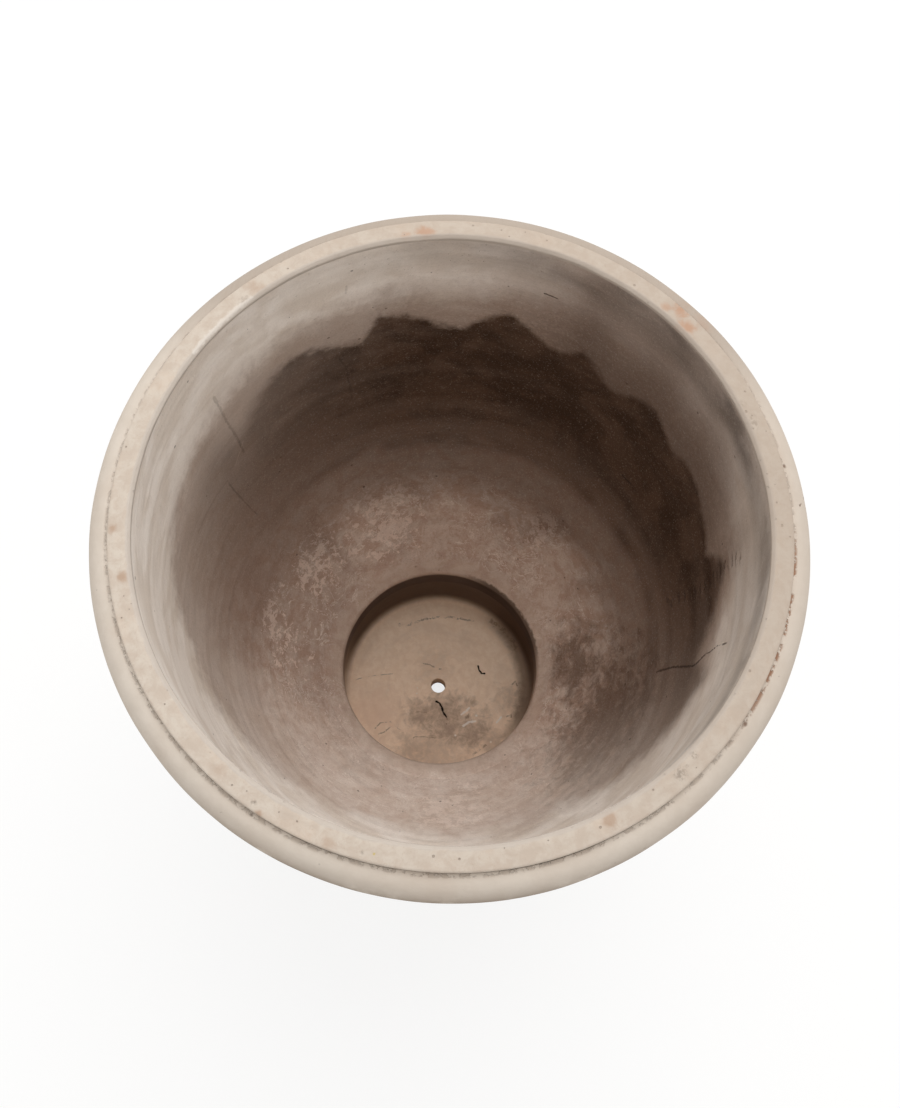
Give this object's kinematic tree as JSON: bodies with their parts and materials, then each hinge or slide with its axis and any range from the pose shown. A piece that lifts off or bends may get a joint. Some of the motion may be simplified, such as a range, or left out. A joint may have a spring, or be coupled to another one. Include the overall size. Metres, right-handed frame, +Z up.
{
  "type": "ceramic planter",
  "caption": "Tall round ceramic floor planter with a flat rim over a rolled lip, a deep bowl, and a sunken well with a drain hole in its foot.",
  "frame": {"origin": "middle of the ring the pot stands on, at the ground, on the pot's axis", "axes": "+Z up along the pot's axis; the pot is round, so +X and +Y are any two level directions"},
  "size_m": [0.6449, 0.6448, 0.7593],
  "materials": {
    "foot_clay": "unglazed, wiped flat",
    "well_clay": "unglazed tan clay",
    "bowl_clay": "unglazed brown clay",
    "band_clay": "smoothed clay",
    "wall_clay": "unglazed, stained, slip at the top",
    "rim_clay": "pale clay, pitted",
    "lip_slip": "pale slip, matt"
  },
  "bodies": {
    "root": {"foot_ring": "foot_clay", "foot_dish": "well_clay", "lower_bowl": "bowl_clay", "seam_band": "band_clay", "upper_wall": "wall_clay", "rim_band": "rim_clay", "lip_roll": "lip_slip"}
  },
  "joints": []
}
